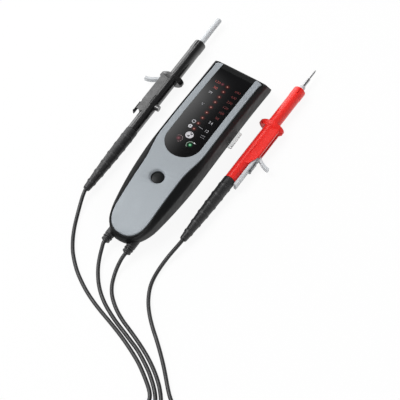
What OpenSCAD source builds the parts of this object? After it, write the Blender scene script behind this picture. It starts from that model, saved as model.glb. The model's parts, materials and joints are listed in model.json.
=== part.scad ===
// Two-pole voltage tester lying on its back, with its two probes and leads.
// Origin: middle of the back face, on the surface that it lies on.
// X across the tester, Y towards the display end, Z out of the face.

/* [Housing] */
// Half width of the housing beside the display
belt_half = 30.5; // [30:0.1:34]
// Narrowing of each side towards the lead end
belt_narrowing = 6.3; // [5:0.1:7]
// Y of the display end
belt_top = 135; // [132:0.5:136]
// Y of the lead end
belt_bottom = -109; // [-112:0.5:-107]
// Thickness of the moulded walls
wall = 2.2; // [1.6:0.1:2.6]

/* [Crown] */
// Height of the face where the tester is thickest
crown_z = 40; // [39:0.2:42]
// Y of that place
crown_y = 20; // [10:1:30]
// Drop of the face towards the display end
display_drop = 5; // [3:0.2:6]
// Drop of the face towards the lead end
lead_drop = 16; // [13:0.5:17]

/* [Cover] */
// Half width of the cover along the display
cover_half = 27.2; // [26.6:0.2:28]
// Half width of the cover below the waist
waist_half = 21.9; // [20.6:0.1:22.6]
// Y of the cover's lead end
cover_bottom = -105.4; // [-106:0.2:-103]
// Thickness of the cover
cover_thick = 3.7; // [3.3:0.1:4.2]
// Width of the black lip that frames the cover
lip = 1.6; // [1.2:0.1:2]

/* [Window] */
// Half width of the window
window_half = 20.2; // [18.6:0.2:20.4]
// Y of the window's straight end
window_top = 111.3; // [110:0.1:112]
// Y of the window's round end
window_bottom = -9.4; // [-11:0.1:-7]
// Thickness of the window
window_thick = 1.9; // [1.5:0.1:2.1]

/* [Button] */
// Y of the button
button_y = -38.5; // [-45:0.5:-34]
// Radius of the button
button_r = 6.8; // [5.5:0.1:7]
// Width of the dished slope round the button
dish_slope = 2.3; // [1.5:0.1:3]
// Depth of the dish
dish_depth = 1.9; // [1.4:0.1:2.1]
// How far the button goes in
button_travel = 1; // [0.6:0.1:1.1]

/* [Inside] */
// Height of the circuit board's underside
board_z = 24; // [22:0.5:24.4]
// Thickness of the circuit board
board_thick = 1.6; // [1.2:0.1:1.8]
// Y of the top lamp in the voltage row
lamp_top = 93.1; // [90:0.1:96]
// Spacing of the lamps in the voltage row
lamp_pitch = 8.1; // [7.6:0.02:8.2]
// Radius of a lamp
lamp_r = 1.5; // [1.2:0.1:1.6]
// Radius of a battery
cell_r = 5.2; // [4.8:0.1:5.3]
// Length of a battery without its button
cell_l = 43.5; // [42:0.5:44]

/* [Glands] */
// Half spacing of the two lead glands
gland_x = 12.6; // [11:0.2:14]
// Height of the gland axis
gland_z = 10; // [9:0.5:12]
// Radius of a gland at the housing
gland_r = 5; // [4.7:0.1:5.4]
// How far a gland stands out of the lead end
gland_out = 9.5; // [8:0.5:11]
// Diameter of the leads
lead_d = 4; // [3.6:0.1:4.2]

/* [Probe] */
// Radius of the probe's barrel
barrel_r = 6.8; // [6.6:0.05:6.9]
// Length of the barrel in front of the guard
barrel_l = 59; // [55:1:62]
// Half width of the oval guard
guard_half = 14.2; // [13.2:0.1:14.4]
// Half height of the oval guard, which the probe rests on
guard_rise = 8; // [7.6:0.1:8.6]
// Reach of the slide box from the probe's axis
box_x = 11.5; // [11.2:0.1:12]
// Length of the tube and box behind the guard
tube_l = 78; // [76:1:84]
// Length of the rubber grip
grip_l = 84.5; // [80:0.5:90]
// Radius of the grip at its thick end
grip_r = 6.6; // [6.4:0.05:6.7]
// Radius of the grip at the lead
grip_end_r = 3.7; // [3.3:0.1:4]
// Number of raised bands on the grip
grip_bands = 6; // [4:1:7]

/* [Slider] */
// How far the protective sleeve slides
slide_travel = 34; // [28:0.5:35]
// Outer radius of the sleeve
sleeve_r = 3.3; // [3.1:0.05:3.5]
// How far the drawn-back sleeve stands out of the barrel
sleeve_out = 6; // [4:0.5:7]
// Reach of the thumb lever from the probe's axis
lever_reach = 26.4; // [24:0.2:28]
// Radius of the contact's thick front part
rod_r = 2; // [1.9:0.05:2]
// Radius of its shank inside the probe
shank_r = 1.75; // [1.6:0.05:1.8]
// Radius of the slim contact point
point_r = 1.1; // [0.9:0.05:1.3]
// Bare metal in front of the drawn-back sleeve
bare_l = 27.5; // [24:0.5:30]

/* [Layout] */
// X and Y of the black probe's guard
black_at = [-66.3, 87.3]; // [-90:0.1:100]
// X and Y of the red probe's guard
red_at = [55.9, 90.8]; // [50:0.1:100]
// Angle of the black probe to the tester
black_turn = 0.8; // [-0.6:0.1:1.6]
// Angle of the red probe to the tester
red_turn = -1.7; // [-2:0.1:0]

/* [Hidden] */

// Clearances between pieces
seat = 0.3;
slide_fit = 0.08;
loose_fit = 0.05;
// Steps along each side of the housing's outlines, and of the window's arc
side_steps = 44;
arc_steps = 24;
// Where the belt narrows and flares, and where the cover has its waist
belt_taper = [5, -80];
belt_flare = 1.2;
cover_flare = 1.2;
cover_taper = [8, -32];
// The cover's display end lies on the housing's sloping end wall
cover_top = belt_top - 13.4;
// Lengths of the rounded ends
bottom_cap = 31;
cover_cap = 24;
top_cap = 5;
cover_corner = 5;

// Heights that follow from one another; those below zero are from the face
ledge = -cover_thick;
window_in = -0.2 - window_thick;
board_top = board_z + board_thick;
lead_r = lead_d/2;
button_tilt = atan((face(button_y + 0.5) - face(button_y - 0.5)));
button_back = ledge - 2.5;
switch_shift = -(button_back - button_travel)*sin(button_tilt);
switch_top = face(button_y) + (button_back - button_travel - 0.4)*cos(button_tilt);

// Screws, posts and the battery bay
screw_r = 1.45;
head_r = 2.9;
head_sink = 2.6;
post_r = 3.4;
top_screw = [21.5, 98];
bottom_screw = [0, -91];
bottom_post_z = 15;
rest_pin = [17.4, -58];
bay_half = 12.5;
bay_top = -12.6;
bay_bottom = bay_top - cell_l - 4.4;
door_half = bay_half + 2.5;
door_top = bay_top + 5;
door_bottom = bay_bottom - 13;
door_thick = 1.9;
door_screw_y = door_bottom + 4.5;
cell_z = 4.2 + cell_r + 0.4;

// Places along the probe's own axis, from its guard towards the tip
guard_shift = 0.6;
bulkhead_front = -47;
bulkhead_back = -53;
box_end = -41;
heel_end = -54;
rod_end = -66;
spigot_end = -tube_l - 18;
spigot_r = 4.2;
core_r = 3;
box_half = 6.1;
slot_half = 4.9;
bar_half = slot_half - seat;
bridge_half = 1.5;
blade_half = 2.6;
bar_out = box_x - 1.4;
bar_in = grip_r + 0.7;
root_back = box_end - 3.5;
root_front = box_end + 3.5;
tail_end = -82;
stop_end = -58.5;

// Measures of the wound leads: turns, mean radius, and layers of two turns
coil_turns = 3.75;
black_coil_r = 20;
red_coil_r = 24;
black_coil_at = [117.2, -269];
red_coil_at = [171.7, -239.2];

// Centre lines of the leads, from the tester to the coil and from the coil to the probe
floor_z = lead_r + 0.05;
black_out_route = [
    [-10.8, -123, 8.2], [-9.2, -128.3, 5.6], [-7, -133.7, 3.8], [-3.8, -139.9, 2.5],
    [1, -147, floor_z], [7.2, -154.5, floor_z], [14.8, -161.6, floor_z], [24, -168.2, floor_z],
    [34.8, -174, floor_z], [45.7, -178.9, floor_z], [56.2, -182.9, floor_z], [66.7, -187, floor_z],
    [78, -191.6, floor_z], [88.8, -197.5, floor_z], [99.5, -204.3, floor_z],
    [109.3, -212.2, floor_z], [116.6, -219.6, floor_z], [121, -226, floor_z],
    [125.8, -235.3, floor_z], [131.4, -246, floor_z]
];
black_in_route = [
    [111.5, -242.5, 4.6], [114.2, -237.2, 3.2], [115.3, -230.9, 2.3], [113.9, -224.5, floor_z],
    [108.6, -218, floor_z], [97.6, -209.5, floor_z], [86.3, -202, floor_z],
    [75.6, -196.4, floor_z], [65, -191.5, floor_z], [54.8, -187.3, floor_z],
    [44.5, -183.5, floor_z], [34, -179.9, floor_z], [23.4, -176.3, floor_z],
    [12.6, -172.1, floor_z], [1.6, -167, floor_z], [-8.9, -161, floor_z],
    [-18.5, -154.5, floor_z], [-27.3, -147, floor_z], [-35.3, -138.8, floor_z],
    [-42.1, -129.6, floor_z], [-47.6, -120.4, floor_z], [-52.1, -111.4, floor_z],
    [-56, -102.2, 2.6], [-59.2, -93.6, 4.2], [-62.2, -84.6, 6.4]
];
red_out_route = [
    [12.3, -121.5, 8.8], [12.5, -127.7, 6.2], [13.5, -134.4, 3.8], [15.6, -141.6, floor_z],
    [19, -149.1, floor_z], [24, -156.3, floor_z], [30.7, -162.7, floor_z],
    [39, -168.6, floor_z], [48.5, -173.7, floor_z], [58.7, -177.9, floor_z],
    [69, -182.2, floor_z], [80, -187.2, floor_z], [91.3, -193.1, floor_z],
    [102.5, -200.3, floor_z], [112.7, -208.4, floor_z], [120.4, -216.4, floor_z],
    [126.5, -224.5, floor_z], [133.2, -233.5, floor_z], [140.5, -243, floor_z]
];
red_in_route = [
    [147.8, -219.7, 4.6], [141.6, -220.1, 3], [135.1, -218, floor_z], [129, -213.8, floor_z],
    [122, -207, floor_z], [114.5, -199, floor_z], [106, -190.3, floor_z],
    [97, -181.8, floor_z], [87.5, -173.4, floor_z], [77.5, -165, floor_z],
    [68, -156, floor_z], [60, -146.5, floor_z], [54.4, -137.3, floor_z],
    [50.7, -128.6, floor_z], [48.6, -119.6, floor_z], [47.8, -110.6, 2.4],
    [47.9, -101.3, 3.6], [48.8, -91.6, 5.6], [50.1, -82.6, 7.2]
];

black_tone = "#232427";
red_tone = "#d81f1f";
sleeve_tone = "#d4d6d8";

// Plain helpers
function eased(t) = let(c = max(0, min(1, t))) c*c*(3 - 2*c);
function between(a, b, t) = a + (b - a)*t;
function end_round(s, p) = s <= 0 ? 1 : s >= 1 ? 0 : pow(1 - pow(s, p), 1/p);
function along_taper(y, taper) = eased((taper[0] - y)/(taper[0] - taper[1]));
function face(y) =
    y > crown_y ? crown_z - display_drop*pow((y - crown_y)/98, 2)
    : crown_z - lead_drop*pow((crown_y - y)/124, 2.6);
function belt(y) =
    belt_half - belt_narrowing*pow(max(0, (belt_taper[0] - y)/(belt_taper[0] - belt_taper[1])), 2)
    + belt_flare*pow(max(0, (y - 60)/60), 2);
function cover_side(y) =
    between(cover_half, waist_half, along_taper(y, cover_taper))
    - 0.038*max(0, cover_taper[1] - y) + cover_flare*eased((y - 110)/9);

// Half outline at one level: the belt stepped in, blended into the cover's edge.
// A level holds its height, 1 if that is from the face, the inset, the blend, the
// margin round the cover's edge, the Y of its display end and that of its lead end.
function level_z(l, y) = l[1] == 1 ? face(y) + l[0] : l[0];
function level_side(l, y) = between(belt(y) - l[2], cover_side(y) + l[4], l[3]);
function capped(l, y) =
    let(low = between(bottom_cap, cover_cap, l[3]), high = between(top_cap, cover_corner, l[3]))
    end_round((l[6] + low - y)/low, 2.4) * end_round((y - l[5] + high)/high, between(8, 2.6, l[3]));
function ring(l) =
    let(low = l[6], high = l[5])
    [for (k = [0 : 2*side_steps - 1])
        let(i = k <= side_steps ? k : 2*side_steps - k,
            y = (low + high)/2 - (high - low)/2*cos(180*i/side_steps),
            x = level_side(l, y)*capped(l, y))
        [k <= side_steps ? x : -x, y, level_z(l, y)]];
function outline(l) = [for (p = ring(l)) [p[0], p[1]]];

// Closed skin through levels, capped by strips that run across the tester
module loft(levels) {
    n = 2*side_steps;
    points = [for (l = levels) each ring(l)];
    top = (len(levels) - 1)*n;
    sides = [for (j = [0 : n : top - n]) for (i = [0 : n - 1])
        [j + i, j + n + i, j + n + (i + 1) % n, j + (i + 1) % n]];
    below = [for (i = [0 : side_steps - 1]) strip(i, n, 0)];
    above = [for (i = [0 : side_steps - 1]) let(f = strip(i, n, top)) [for (k = [len(f) - 1 : -1 : 0]) f[k]]];
    polyhedron(points = points, faces = concat(sides, below, above), convexity = 6);
}

function strip(i, n, at) =
    i == 0 ? [at, at + 1, at + n - 1]
    : i == side_steps - 1 ? [at + i, at + i + 1, at + n - i]
    : [at + i, at + i + 1, at + n - i - 1, at + n - i];

// Turned piece about the Y axis: points are [radius, y]
module turned(profile, facets = 48) {
    rotate([-90, 0, 0])
        rotate_extrude($fn = facets)
            polygon(profile);
}

module rod_y(r, from, to, facets = 40) {
    translate([0, from, 0])
        rotate([-90, 0, 0])
            cylinder(h = to - from, r = r, $fn = facets);
}

module box(low, high) {
    translate(low)
        cube(high - low);
}

// Outline drawn in X and Z, given length along Y
module extruded_y(points, from, to) {
    translate([0, to, 0])
        rotate([90, 0, 0])
            linear_extrude(height = to - from)
                polygon(points);
}

function oval(a, b, steps = 40) =
    [for (i = [0 : steps - 1]) [a*cos(360*i/steps), b*sin(360*i/steps)]];

// Window outline, grown outwards by a clearance
function window_shape(grow) =
    let(r = window_half + grow, middle = window_bottom + window_half)
    concat([[r, window_top + grow], [-r, window_top + grow]],
        [for (i = [0 : arc_steps])
            [-r*cos(180*i/arc_steps), middle - r*sin(180*i/arc_steps)]]);

// Tube swept along a route, one ring of eight corners at each point
module tube(route, corner_r = lead_r/cos(22.5)) {
    sides = 8;
    last = len(route) - 1;
    rings = [for (i = [0 : last])
        let(along = route[min(i + 1, last)] - route[max(i - 1, 0)],
            ahead = along/norm(along),
            side_way = cross(ahead, [0, 0, 1]),
            side = side_way/norm(side_way),
            up = cross(side, ahead))
        for (k = [0 : sides - 1])
            let(a = 360*(k + 0.5)/sides)
            route[i] + corner_r*(cos(a)*side + sin(a)*up)];
    walls = [for (i = [0 : last - 1]) for (k = [0 : sides - 1])
        [i*sides + k, i*sides + (k + 1) % sides, (i + 1)*sides + (k + 1) % sides, (i + 1)*sides + k]];
    start_face = [[for (k = [sides - 1 : -1 : 0]) k]];
    end_face = [[for (k = [0 : sides - 1]) last*sides + k]];
    color(black_tone)
        polyhedron(points = rings, faces = concat(walls, start_face, end_face), convexity = 8);
}

// Outer shape of a wound lead: two turns beside each other, in two layers
module coil(at, mean_r) {
    color(black_tone)
        translate([at[0], at[1], 0.05])
            rotate_extrude($fn = 64)
                translate([mean_r - 1.5*lead_d, 0])
                    square([3*lead_d, 2*lead_d]);
}

// Housing: lofted shell, with the posts, the battery bay and the end tab
// The end walls slope; at the display end the cover reaches over the wall to its outside
rim_top = cover_top - 1.6;
housing_levels = [
    [0, 0, 5.4, 0, 0, belt_top - 7.5, belt_bottom + 12],
    [0.6, 0, 4, 0, 0, belt_top - 5.6, belt_bottom + 9.8],
    [1.5, 0, 3, 0, 0, belt_top - 4, belt_bottom + 8],
    [2.8, 0, 2.1, 0, 0, belt_top - 2.6, belt_bottom + 6.2],
    [4.5, 0, 1.4, 0, 0, belt_top - 1.4, belt_bottom + 4.6],
    [6.6, 0, 0.8, 0, 0, belt_top - 0.5, belt_bottom + 3.2],
    [9, 0, 0.4, 0, 0, belt_top, belt_bottom + 2],
    [-8.6, 1, -0.6, 0, 0, belt_top - 10, belt_bottom],
    [-6.6, 1, -0.6, 0, 0, belt_top - 11.1, belt_bottom],
    [-5.1, 1, -0.3, 0.04, lip, belt_top - 12.3, belt_bottom + 0.2],
    [-3.6, 1, 0.1, 0.2, lip, belt_top - 13.3, belt_bottom + 0.4],
    [-2.1, 1, 0.6, 0.5, lip, between(belt_top - 14.2, rim_top, 0.6), belt_bottom + 0.8],
    [-1.1, 1, 0.6, 0.85, lip, rim_top, cover_bottom - lip - 0.9],
    [-0.6, 1, 0, 1, lip - 0.2, rim_top - 0.3, cover_bottom - lip]
];
cavity_levels = [
    [wall, 0, 5 + wall, 0, 0, belt_top - 10, belt_bottom + 16],
    [5, 0, 1.2 + wall, 0, 0, belt_top - 4.5, belt_bottom + 8],
    [9, 0, wall, 0, 0, belt_top - wall - 1, belt_bottom + 5],
    [-9.2, 1, wall - 0.1, 0, 0, belt_top - 12.4 - wall, belt_bottom + 4],
    [-6, 1, wall + 0.8, 0.2, -2, belt_top - 14.5 - wall, belt_bottom + 5],
    [ledge + 0.5, 1, 1, 1, -2, cover_top - 3, cover_bottom + 2]
];
pocket_levels = [
    [ledge - loose_fit, 1, 0, 1, seat, cover_top + 2*top_cap, cover_bottom - seat],
    [5, 1, 0, 1, seat, cover_top + 2*top_cap, cover_bottom - seat]
];

module screw_posts() {
    for (x = [-top_screw[0], top_screw[0]])
        translate([x, top_screw[1], 0])
            screw_post(board_z);
    translate([bottom_screw[0], bottom_screw[1], 0])
        screw_post(bottom_post_z);
    for (x = [-rest_pin[0], rest_pin[0]])
        translate([x, rest_pin[1], wall/2])
            cylinder(h = board_z - wall/2, r = 2.2, $fn = 32);
}

module screw_post(high) {
    cylinder(h = head_sink + 2, r = post_r + 1.2, $fn = 40);
    cylinder(h = high, r = post_r, $fn = 40);
}

module screw_bore() {
    translate([0, 0, -1])
        cylinder(h = board_z + 2, r = screw_r + 0.25, $fn = 32);
    translate([0, 0, -1])
        cylinder(h = head_sink + 1, r = head_r + seat, $fn = 32);
}

module battery_bay() {
    box([-door_half - 1.5, door_bottom - 1.5, wall/2], [door_half + 1.5, door_top + 1.5, 4.2]);
    for (y = [bay_top, bay_bottom - 1.2])
        box([-bay_half + 0.5, y, wall/2], [bay_half - 0.5, y + 1.2, cell_z + cell_r]);
    translate([0, door_screw_y, wall/2])
        cylinder(h = 10, r = 3.4, $fn = 32);
}

module rear_housing() {
    color(black_tone)
        difference() {
            union() {
                difference() {
                    loft(housing_levels);
                    loft(cavity_levels);
                    loft(pocket_levels);
                }
                end_tab();
                screw_posts();
                battery_bay();
            }
            for (x = [-top_screw[0], top_screw[0]])
                translate([x, top_screw[1], 0])
                    screw_bore();
            translate([bottom_screw[0], bottom_screw[1], 0])
                screw_bore();
            box([-bay_half, bay_bottom, -1], [bay_half, bay_top, 5]);
            box([-door_half - seat, door_bottom - seat, -1],
                [door_half + seat, door_top + seat, door_thick + 0.1]);
            translate([0, door_screw_y, -1])
                cylinder(h = 11, r = 1.2, $fn = 24);
            for (x = [-gland_x, gland_x])
                translate([x, 0, gland_z])
                    rod_y(gland_r + loose_fit, belt_bottom - 5, belt_bottom + 16);
            clip_recess();
        }
}

// Tab of the housing that closes the window's end between the cover's two arms
module end_tab() {
    inner = window_top + seat;
    top_z = face(inner) - 0.2;
    profile = [
        [inner, top_z - 6], [inner, top_z - 0.5], [inner + 0.5, top_z], [rim_top - 3.6, top_z - 0.7],
        [rim_top - 1.6, top_z - 1.2], [rim_top - 0.4, top_z - 1.8], [rim_top + 0.6, top_z - 2.8],
        [rim_top + 1.3, top_z - 4], [rim_top + 2, top_z - 6]
    ];
    translate([-window_half + 0.2, 0, 0])
        rotate([90, 0, 90])
            linear_extrude(height = 2*window_half - 0.4)
                polygon(profile);
}

// Cover: grey face plate, with the window seat, the dish and the screw posts
module front_cover() {
    levels = [
        [ledge, 1, 0, 1, 0, cover_top, cover_bottom],
        [-2.4, 1, 0, 1, 0, cover_top - 0.7, cover_bottom],
        [-1.4, 1, 0, 1, 0, cover_top - 1.4, cover_bottom],
        [-0.7, 1, 0, 1, -0.15, cover_top - 2.2, cover_bottom + 0.15],
        [-0.25, 1, 0, 1, -0.4, cover_top - 3.1, cover_bottom + 0.4],
        [0, 1, 0, 1, -0.9, cover_top - 4.2, cover_bottom + 0.9]
    ];
    color("#9aa1a6")
        difference() {
            union() {
                loft(levels);
                for (x = [-top_screw[0], top_screw[0]])
                    translate([x, top_screw[1], board_top])
                        cylinder(h = face(top_screw[1]) - 2 - board_top, r = post_r - 0.2, $fn = 40);
                translate([bottom_screw[0], bottom_screw[1], bottom_post_z])
                    cylinder(h = face(bottom_screw[1]) - 2 - bottom_post_z, r = post_r - 0.2, $fn = 40);
            }
            window_band(window_in, 5, 0.15);
            window_band(-8, 5, -1.6);
            box([-window_half - 0.1, window_top - 2, 20], [window_half + 0.1, cover_top + 9, crown_z + 5]);
            at_button() {
                translate([0, 0, -dish_depth])
                    cylinder(h = dish_depth + 1, r1 = button_r + seat,
                        r2 = button_r + seat + dish_slope*(1 + 1/dish_depth), $fn = 64);
                translate([0, 0, -12])
                    cylinder(h = 20, r = button_r + seat, $fn = 64);
            }
            for (x = [-top_screw[0], top_screw[0]])
                translate([x, top_screw[1], board_z - 1])
                    cylinder(h = 8, r = screw_r - 0.2, $fn = 24);
            translate([bottom_screw[0], bottom_screw[1], bottom_post_z - 1])
                cylinder(h = 8, r = screw_r - 0.2, $fn = 24);
        }
}

// Layer that follows the face, cut to the window's outline
module window_band(from, to, grow) {
    intersection() {
        loft([for (z = [from, to]) [z, 1, 0, 1, 0, cover_top, cover_bottom]]);
        linear_extrude(height = 2*crown_z)
            polygon(window_shape(grow));
    }
}

module display_window() {
    color("#15171a")
        window_band(window_in, -0.2, 0);
}

function lamp_places() = [for (i = [0 : 8]) [0, lamp_top - i*lamp_pitch]];
state_places = [[-6.8, 94.1], [-7, 10.6], [7.7, 9.3]];

// Black mask that keeps each lamp's light apart, standing on the board
module lamp_mask() {
    color("#1a1b1d")
        difference() {
            union() {
                window_band(window_in - 4, window_in, -2.2);
                for (x = [-14, 14])
                    for (y = [22, 100])
                        translate([x, y, board_top])
                            cylinder(h = face(y) + window_in - 2 - board_top, r = 1.6, $fn = 24);
            }
            for (p = concat(lamp_places(), state_places))
                translate([p[0], p[1], board_top])
                    cylinder(h = 20, r = lamp_r + seat, $fn = 24);
        }
}

module lamps(places) {
    for (p = places) {
        high = face(p[1]) + window_in - 0.8 - lamp_r - board_top;
        translate([p[0], p[1], board_top]) {
            cylinder(h = high, r = lamp_r, $fn = 24);
            translate([0, 0, high])
                sphere(r = lamp_r, $fn = 24);
        }
    }
}

module voltage_lamps() {
    color("#e0402c")
        lamps(lamp_places());
}

module state_lamps() {
    color("#2fae5a")
        lamps(state_places);
}

module circuit_board() {
    color("#1d5c3a")
        difference() {
            union() {
                translate([0, 0, board_z])
                    linear_extrude(height = board_thick)
                        intersection() {
                            polygon(outline([0, 0, 6.5, 0, 0, belt_top - 18, belt_bottom + 10]));
                            translate([-50, rest_pin[1] - 6])
                                square([100, 250]);
                        }
                box([-15, -22, board_top], [-3, -10, board_top + 2]);
                box([5, -24, board_top], [13, -12, board_top + 1.6]);
            }
            for (x = [-top_screw[0], top_screw[0]])
                translate([x, top_screw[1], board_z - 1])
                    cylinder(h = 5, r = screw_r + 0.3, $fn = 24);
        }
}

module input_resistors() {
    color("#c9b48a")
        for (x = [-10, 10])
            for (y = [-2, 24])
                translate([x, y, board_z - 2.2])
                    rod_y(2.2, 0, 17, 24);
}

module buzzer() {
    color("#141414")
        translate([0, 66, board_z - 6])
            difference() {
                cylinder(h = 6, r = 9, $fn = 48);
                translate([0, 0, -1])
                    cylinder(h = 2.5, r = 1.2, $fn = 24);
            }
}

module at_button() {
    translate([0, button_y, face(button_y)])
        rotate([button_tilt, 0, 0])
            children();
}

// Button: domed cap, collar under the cover and a stem over the switch
module push_button() {
    dome = 1.1;
    cap_z = -dish_depth - 0.4;
    cap = [for (i = [0 : 6]) [button_r*cos(15*i), cap_z + dome*sin(15*i) - dome]];
    profile = concat([[0, button_back]], [[2.5, button_back]], [[2.5, button_back + 0.6]],
        [[button_r + 1.2, button_back + 0.6]], [[button_r + 1.2, ledge - seat]],
        [[button_r, ledge - seat]], cap);
    color("#2e3033")
        at_button()
            rotate_extrude($fn = 64)
                polygon(profile);
}

module button_switch() {
    color("#3a3a3a")
        translate([0, button_y + switch_shift, board_top]) {
            translate([-3, -3, 0])
                cube([6, 6, 2.6]);
            cylinder(h = switch_top - board_top, r = 1.6, $fn = 32);
        }
}

// Two cells side by side in the bay
cell_from = bay_bottom + 1.7;
module batteries() {
    color("#b98a4a")
        for (x = [-1, 1])
            translate([x*(cell_r + 0.3), 0, cell_z]) {
                rod_y(cell_r, cell_from, cell_from + cell_l);
                rod_y(1.9, cell_from + cell_l - 0.5, cell_from + cell_l + 1, 24);
            }
}

// Sprung leaf at each end of the bay, bowed towards the cells
module battery_contacts() {
    sheet = 0.4;
    high = cell_z + cell_r - 1;
    color("silver") {
        leaf(bay_bottom, 1, cell_from - bay_bottom, sheet, high);
        leaf(bay_top, -1, bay_top - cell_from - cell_l - 1, sheet, high);
    }
}

module leaf(y, way, reach, sheet, high) {
    middle = cell_z;
    bow = reach - 0.05;
    profile = [[y, 5], [y + way*sheet, 5], [y + way*sheet, middle - 3.6], [y + way*bow, middle],
        [y + way*sheet, middle + 3.6], [y + way*sheet, high], [y, high]];
    translate([-bay_half + 1, 0, 0])
        rotate([90, 0, 90])
            linear_extrude(height = 2*bay_half - 2)
                polygon(profile);
}

// Battery door, let into the back and held by one sunk screw
module battery_door() {
    color(black_tone)
        difference() {
            box([-door_half, door_bottom, 0], [door_half, door_top, door_thick]);
            translate([0, door_screw_y, -1])
                cylinder(h = 5, r = 1.7, $fn = 32);
            translate([0, door_screw_y, -0.01])
                cylinder(h = 1.2, r = 3.1, $fn = 32);
            for (i = [0 : 5])
                box([-8, door_top - 8 - 2*i, -1], [8, door_top - 7 - 2*i, 0.5]);
        }
}

module door_screw() {
    color("silver")
        translate([0, door_screw_y, 0.2])
            difference() {
                union() {
                    cylinder(h = 0.95, r = 2.8, $fn = 32);
                    cylinder(h = 8, r = 1.15, $fn = 24);
                }
                translate([-0.4, -2, -0.1])
                    cube([0.8, 4, 0.6]);
            }
}

module housing_screws() {
    color("silver") {
        for (x = [-top_screw[0], top_screw[0]])
            translate([x, top_screw[1], 0])
                housing_screw(board_z);
        translate([bottom_screw[0], bottom_screw[1], 0])
            housing_screw(bottom_post_z);
    }
}

module housing_screw(post_top) {
    difference() {
        union() {
            translate([0, 0, 0.6])
                cylinder(h = head_sink - 0.6, r = head_r, $fn = 32);
            translate([0, 0, 1])
                cylinder(h = post_top + 4, r = screw_r - 0.25, $fn = 24);
        }
        translate([-0.5, -1.8, 0.5])
            cube([1, 3.6, 0.9]);
        translate([-1.8, -0.5, 0.5])
            cube([3.6, 1, 0.9]);
    }
}

// Clear clip across the back, with an arm up each side of the housing
clip_from = 49.5;
clip_to = 74;
clip_sheet = 1.3;
clip_out = belt_half + 2.7;
module clip_recess() {
    box([-50, clip_from - seat, -1], [50, clip_to + seat, clip_sheet + 0.1]);
}

module probe_clip() {
    out = clip_out;
    half = [[out - 5.2, 0], [out - 0.6, 1.6], [out + 0.6, 4.4], [out + clip_sheet, 8.6],
        [out + 0.2, 8.6], [out - 0.6, 4.7], [out - 1.9, 2.6], [out - 4, clip_sheet]];
    flip = [for (i = [len(half) - 1 : -1 : 0]) [-half[i][0], half[i][1]]];
    corner = 6;
    color("#cfd3d4")
        intersection() {
            extruded_y(concat(half, flip), clip_from, clip_to);
            linear_extrude(height = 12)
                polygon([[-50, clip_from], [50, clip_from], [50, clip_to - 10],
                    [out + 1, clip_to - corner], [out - 5, clip_to], [5 - out, clip_to],
                    [-out - 1, clip_to - corner], [-50, clip_to - 10]]);
        }
}

// Gland: stub with two rings, pushed into the lead end
gland_wall_y = belt_bottom + 3;
gland_end_y = gland_wall_y - gland_out;
module gland() {
    step = gland_out/6.5;
    outer = gland_end_y;
    profile = [
        [lead_r + loose_fit, outer], [lead_r + 0.7, outer], [lead_r + 0.9, outer + 0.7*step],
        [gland_r - 0.5, outer + 0.9*step], [gland_r - 0.5, outer + 1.9*step],
        [lead_r + 1.1, outer + 2.1*step], [lead_r + 1.2, outer + 3*step],
        [gland_r - 0.1, outer + 3.2*step], [gland_r - 0.1, outer + 4.2*step],
        [lead_r + 1.7, outer + 4.4*step], [gland_r, outer + 5.6*step],
        [gland_r, belt_bottom + 12.5], [lead_r + loose_fit, belt_bottom + 12.5]
    ];
    color("#1b1c1e")
        turned(profile);
}

module left_gland() {
    translate([-gland_x, 0, gland_z])
        gland();
}

module right_gland() {
    translate([gland_x, 0, gland_z])
        gland();
}

// Ends of both leads inside the tester, up to the underside of the board
module lead_ends() {
    bend_y = belt_bottom + 18;
    up_y = rest_pin[1] + 2;
    top_z = board_z - seat - lead_r;
    route = [
        [0, gland_end_y, gland_z], [0, bend_y, gland_z], [0, bend_y + 3, gland_z + 0.4],
        [0, bend_y + 8, gland_z + 2.2], [0, up_y - 12, top_z - 2.2], [0, up_y - 7, top_z - 0.4],
        [0, up_y - 3, top_z], [0, up_y, top_z]
    ];
    for (x = [-gland_x, gland_x])
        translate([x, 0, 0])
            tube(route, lead_r);
}

// Probe body: barrel, oval guard, slide box and tube in one moulding.
// Built along Y from its guard, with the lever side at +X.
function rounded_box_points(x0, x1, half, r) =
    concat([[x0, -half]],
        [for (i = [0 : 5]) [x1 - r + r*sin(18*i), -half + r - r*cos(18*i)]],
        [for (i = [0 : 5]) [x1 - r + r*cos(18*i), half - r + r*sin(18*i)]],
        [[x0, half]]);

module guard() {
    for (g = [[2.2, -2.4, 4.8], [1.5, -2, 4.4], [0.7, -1.4, 3.8], [0, -0.5, 2.9]])
        translate([guard_shift, 0, 0])
            extruded_y(oval(guard_half - g[0], guard_rise - g[0]/2), g[1], g[2]);
}

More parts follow.
